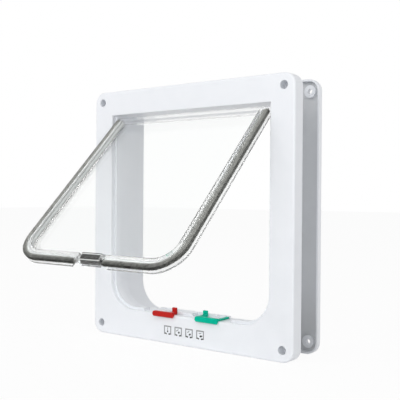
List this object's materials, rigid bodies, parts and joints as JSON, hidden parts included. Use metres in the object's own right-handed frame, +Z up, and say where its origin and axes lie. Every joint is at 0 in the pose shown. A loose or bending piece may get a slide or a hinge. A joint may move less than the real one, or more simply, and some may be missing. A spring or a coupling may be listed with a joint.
{
  "type": "cat flap",
  "caption": "Four-way locking cat flap: white front and rear frames with telescoping sleeves, clear swinging flap edged with pile brush, magnet catch and red and green lock sliders.",
  "frame": {"origin": "centre of the four screw holes, on the face of the front frame that seats on the door", "axes": "+X to the right seen from the room, +Z up, the room side faces -Y and the outside faces +Y"},
  "size_m": [0.235, 0.1797, 0.248],
  "materials": {
    "white_plastic": "satin moulded",
    "clear_plastic": "clear polished",
    "grey_pile": "dense woven pile",
    "magnet": "ground",
    "red_plastic": "gloss moulded",
    "green_plastic": "gloss moulded"
  },
  "bodies": {
    "frame": {"front_frame": "white_plastic", "rear_frame": "white_plastic", "sill_magnet": "magnet"},
    "flap": {"flap_panel": "clear_plastic", "brush_left": "grey_pile", "brush_right": "grey_pile", "magnet_cover": "clear_plastic", "flap_magnet": "magnet"},
    "red_lock": {"red_lock": "red_plastic"},
    "green_lock": {"green_lock": "green_plastic"}
  },
  "joints": [
    {"name": "flap_hinge", "type": "hinge", "parent": "frame", "child": "flap", "pos_m": [0, -0.0068, 0.0945], "axis": [-1, 0, 0], "range_deg": [-130.2, 39.8]},
    {"name": "red_lock_slide", "type": "slide", "parent": "frame", "child": "red_lock", "axis": [1, 0, 0], "range_m": [0, 0.008]},
    {"name": "green_lock_slide", "type": "slide", "parent": "frame", "child": "green_lock", "axis": [-1, 0, 0], "range_m": [0, 0.008]}
  ]
}
